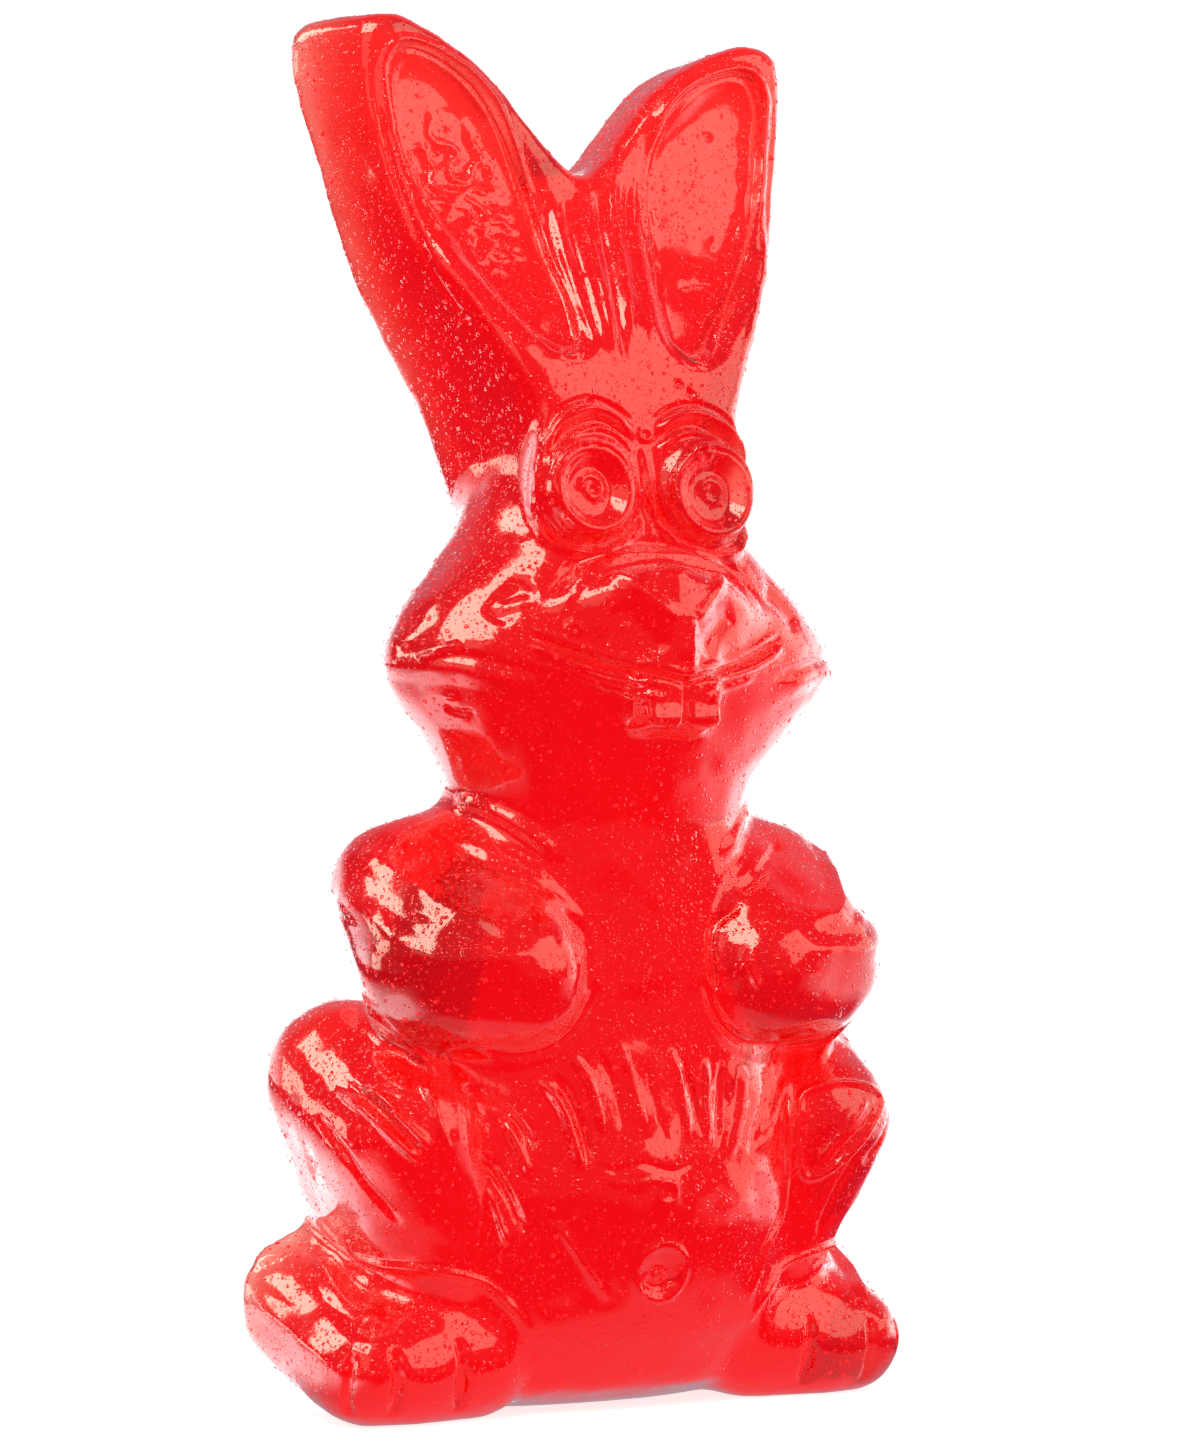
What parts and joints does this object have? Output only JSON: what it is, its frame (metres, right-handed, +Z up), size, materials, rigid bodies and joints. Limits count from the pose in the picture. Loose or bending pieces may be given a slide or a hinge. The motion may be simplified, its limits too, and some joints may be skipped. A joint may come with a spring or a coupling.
{
  "type": "gummy bunny",
  "caption": "Upright moulded jelly bunny with leaf-hollowed ears, goggle eyes, buck teeth, folded paws, big feet and a flat back.",
  "frame": {"origin": "centre of the bounding box in X and Y, on the plane the soles rest on", "axes": "+Z up through the ears, -Y the way the bunny looks, +X towards the bunny's own left"},
  "size_m": [0.0504, 0.022, 0.0993],
  "materials": {
    "jelly": "glossy translucent red fruit jelly"
  },
  "bodies": {
    "root": {"gummy_bunny": "jelly"}
  },
  "joints": []
}
